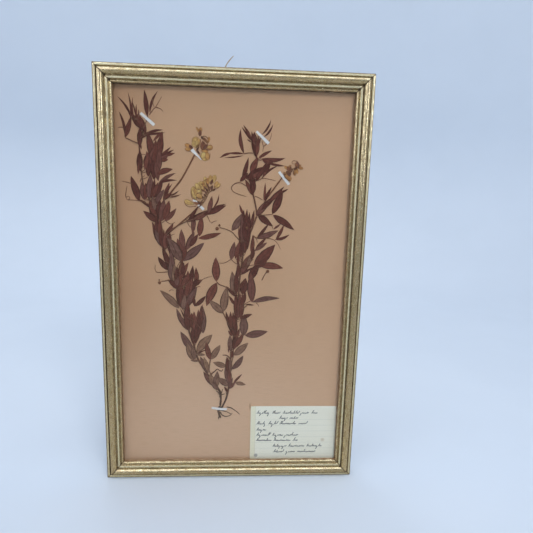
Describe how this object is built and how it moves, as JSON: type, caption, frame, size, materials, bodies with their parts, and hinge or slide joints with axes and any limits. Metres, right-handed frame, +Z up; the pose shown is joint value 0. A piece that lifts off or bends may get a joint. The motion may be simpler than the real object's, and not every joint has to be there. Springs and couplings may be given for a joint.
{
  "type": "pressed flower frame",
  "caption": "Dried pressed climbing plant with faded flowers on a tan sheet with a pale label card, behind glass in a gilt moulded frame with a hanging cord.",
  "frame": {"origin": "middle of the frame's bottom edge, half way through the moulding's depth", "axes": "+Z up along the frame's height, +X to the right seen from the front, the glass faces -Y"},
  "size_m": [0.2688, 0.0234, 0.4428],
  "materials": {
    "gilt": "worn pale gilding, satin, on moulded wood",
    "glass": "clear picture glass",
    "sheet": "aged tan paper, matt",
    "label": "pale ruled card, matt",
    "board": "grey-brown board",
    "steel": "dull wire",
    "cord": "waxed linen cord",
    "tape": "gummed white paper strip",
    "stem": "dry, flattened plant stem",
    "leaf": "dry, pressed red-brown leaf",
    "petal": "dry, faded yellow-brown petal",
    "root": "dry root with some soil"
  },
  "bodies": {
    "root": {"top_rail": "gilt", "bottom_rail": "gilt", "left_stile": "gilt", "right_stile": "gilt", "glass_pane": "glass", "mount_sheet": "sheet", "label_card": "label", "backing_board": "board", "brad_left_1": "steel", "brad_left_2": "steel", "brad_right_1": "steel", "brad_right_2": "steel", "brad_top_1": "steel", "brad_top_2": "steel", "brad_bottom_1": "steel", "brad_bottom_2": "steel", "screw_eye_left": "steel", "screw_eye_right": "steel", "cord_left": "cord", "cord_right": "cord", "cord_tail": "cord", "cord_knot": "cord", "eye_knot_left": "cord", "eye_knot_right": "cord", "left_stem_lower": "stem", "left_stem_upper": "stem", "right_stem_lower": "stem", "right_stem_upper": "stem", "right_side_shoot": "stem", "upper_flower_stalk": "stem", "lower_flower_stalk": "stem", "right_flower_stalk": "stem", "root": "root", "upper_flower_head": "petal", "lower_flower_head": "petal", "right_flower_head": "petal", "leaf_top_left_a": "leaf", "leaf_top_left_b": "leaf", "leaf_left_edge": "leaf", "leaf_left_outer": "leaf", "leaf_left_low": "leaf", "leaf_middle_a": "leaf", "leaf_middle_b": "leaf", "leaf_middle_c": "leaf", "leaf_fork_a": "leaf", "leaf_fork_b": "leaf", "leaf_fork_c": "leaf", "leaf_low_a": "leaf", "leaf_low_b": "leaf", "leaf_low_c": "leaf", "leaf_right_a": "leaf", "leaf_right_b": "leaf", "leaf_right_c": "leaf", "leaf_right_d": "leaf", "tape_left_tip": "tape", "tape_upper_flower": "tape", "tape_lower_flower": "tape", "tape_right_tip": "tape", "tape_right_flower": "tape", "tape_root": "tape"}
  },
  "joints": []
}
